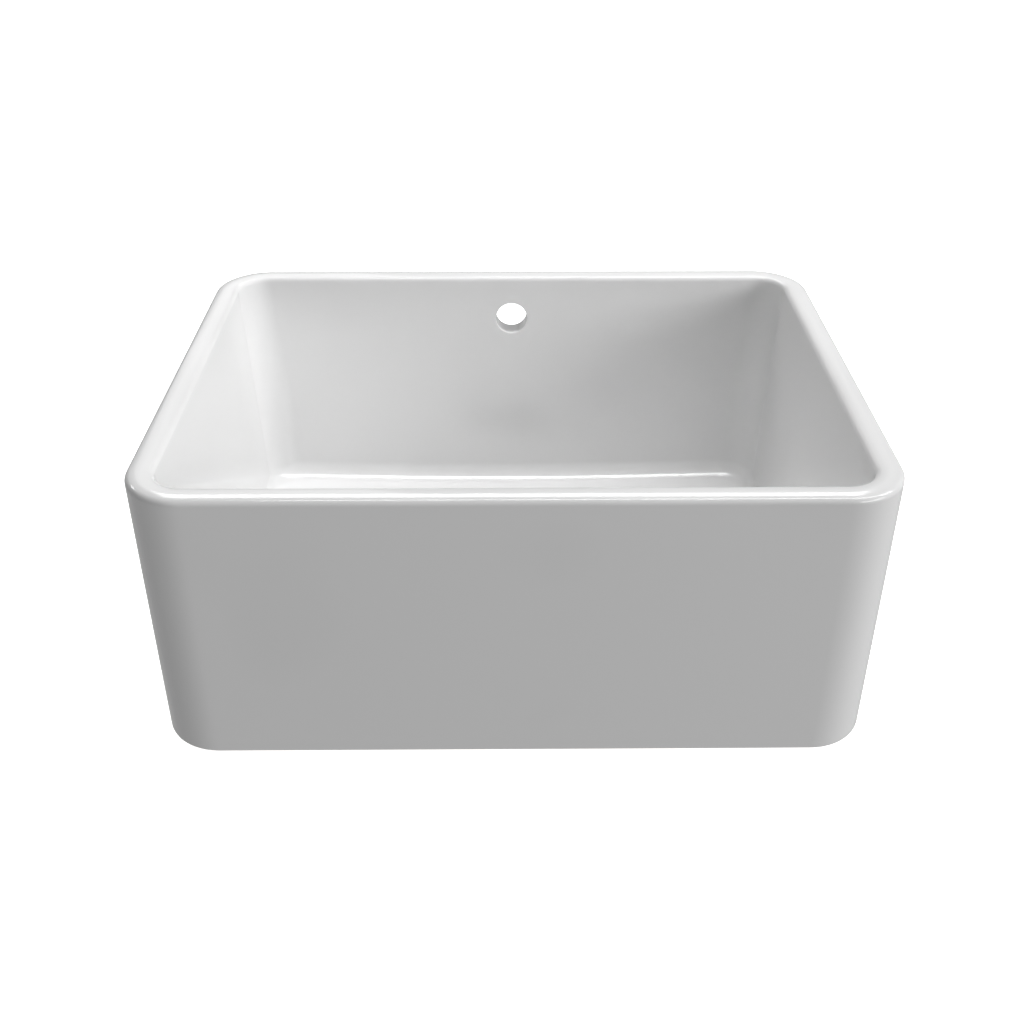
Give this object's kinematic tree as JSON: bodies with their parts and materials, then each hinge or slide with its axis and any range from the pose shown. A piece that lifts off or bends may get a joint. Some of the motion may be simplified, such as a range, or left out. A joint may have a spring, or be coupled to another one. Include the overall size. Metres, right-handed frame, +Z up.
{
  "type": "apron front sink",
  "caption": "Rectangular glazed fireclay apron-front sink with a coved, drawn-in bowl, a round rear overflow hole and a basket strainer waste whose slotted basket lifts out and turns.",
  "frame": {"origin": "centre of the sink's flat underside; the waste hangs below it", "axes": "+X along the width, to the right as one stands at the sink; +Y towards the wall behind, so the apron faces -Y; +Z up"},
  "size_m": [0.595, 0.454, 0.3276],
  "materials": {
    "fireclay": "white glossy glaze, bare bisque on the underside",
    "stainless": "pressed and polished stainless steel",
    "brass": "machined",
    "rubber": "moulded, dull",
    "polypropylene": "moulded, satin"
  },
  "bodies": {
    "sink": {"sink_body": "fireclay", "flange_gasket": "rubber", "strainer_cup": "stainless", "underside_seal": "rubber", "waste_body": "polypropylene", "brass_insert": "brass", "bolt_washer": "rubber", "fixing_bolt": "stainless", "inlet_washer": "rubber", "inlet_cap": "polypropylene"},
    "stopper": {"basket_stem": "stainless", "stem_nut": "stainless", "stopper_bung": "rubber", "backing_washer": "stainless", "basket_knob": "stainless"},
    "basket": {"basket_cup": "stainless"}
  },
  "joints": [
    {"name": "basket_lift", "type": "slide", "parent": "sink", "child": "stopper", "axis": [0, 0, 1], "range_m": [0, 0.3]},
    {"name": "basket_turn", "type": "hinge", "parent": "stopper", "child": "basket", "pos_m": [0, 0, 0], "axis": [0, 0, 1], "continuous": true}
  ]
}
